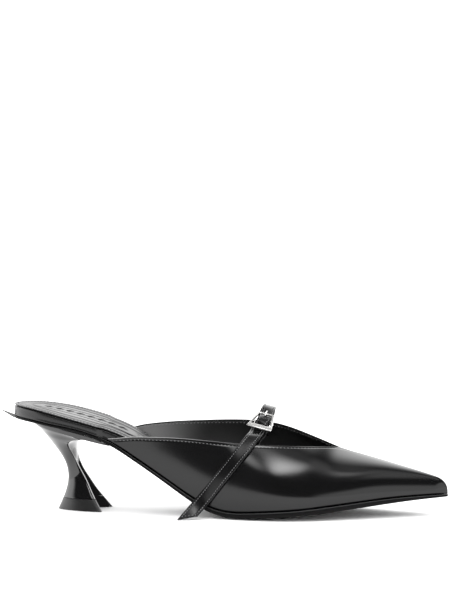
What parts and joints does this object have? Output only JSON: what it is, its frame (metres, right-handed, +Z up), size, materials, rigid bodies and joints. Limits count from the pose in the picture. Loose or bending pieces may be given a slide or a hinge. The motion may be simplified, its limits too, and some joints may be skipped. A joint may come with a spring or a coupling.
{
  "type": "heeled mule shoe",
  "caption": "Right heeled mule with a pointed closed toe, open back, waisted heel with a rubber lift, and an instep strap fastened by a buckle.",
  "frame": {"origin": "middle of the heel lift's floor face", "axes": "+X to the toe, +Y to the inner (medial) side of the foot, +Z up from the floor"},
  "size_m": [0.2685, 0.0764, 0.0642],
  "materials": {
    "outsole": "black, edge painted, satin",
    "footbed": "black leather cover, smooth, satin",
    "upper": "black box calf, polished",
    "heel": "black, high gloss",
    "heel_lift": "black, matte",
    "strap": "black box calf, edge stitched",
    "buckle": "polished silver"
  },
  "bodies": {
    "root": {"outsole": "outsole", "footbed": "footbed", "upper": "upper", "heel": "heel", "heel_lift": "heel_lift", "long_strap": "strap", "short_strap": "strap", "buckle_frame": "buckle", "prong": "buckle"}
  },
  "joints": []
}
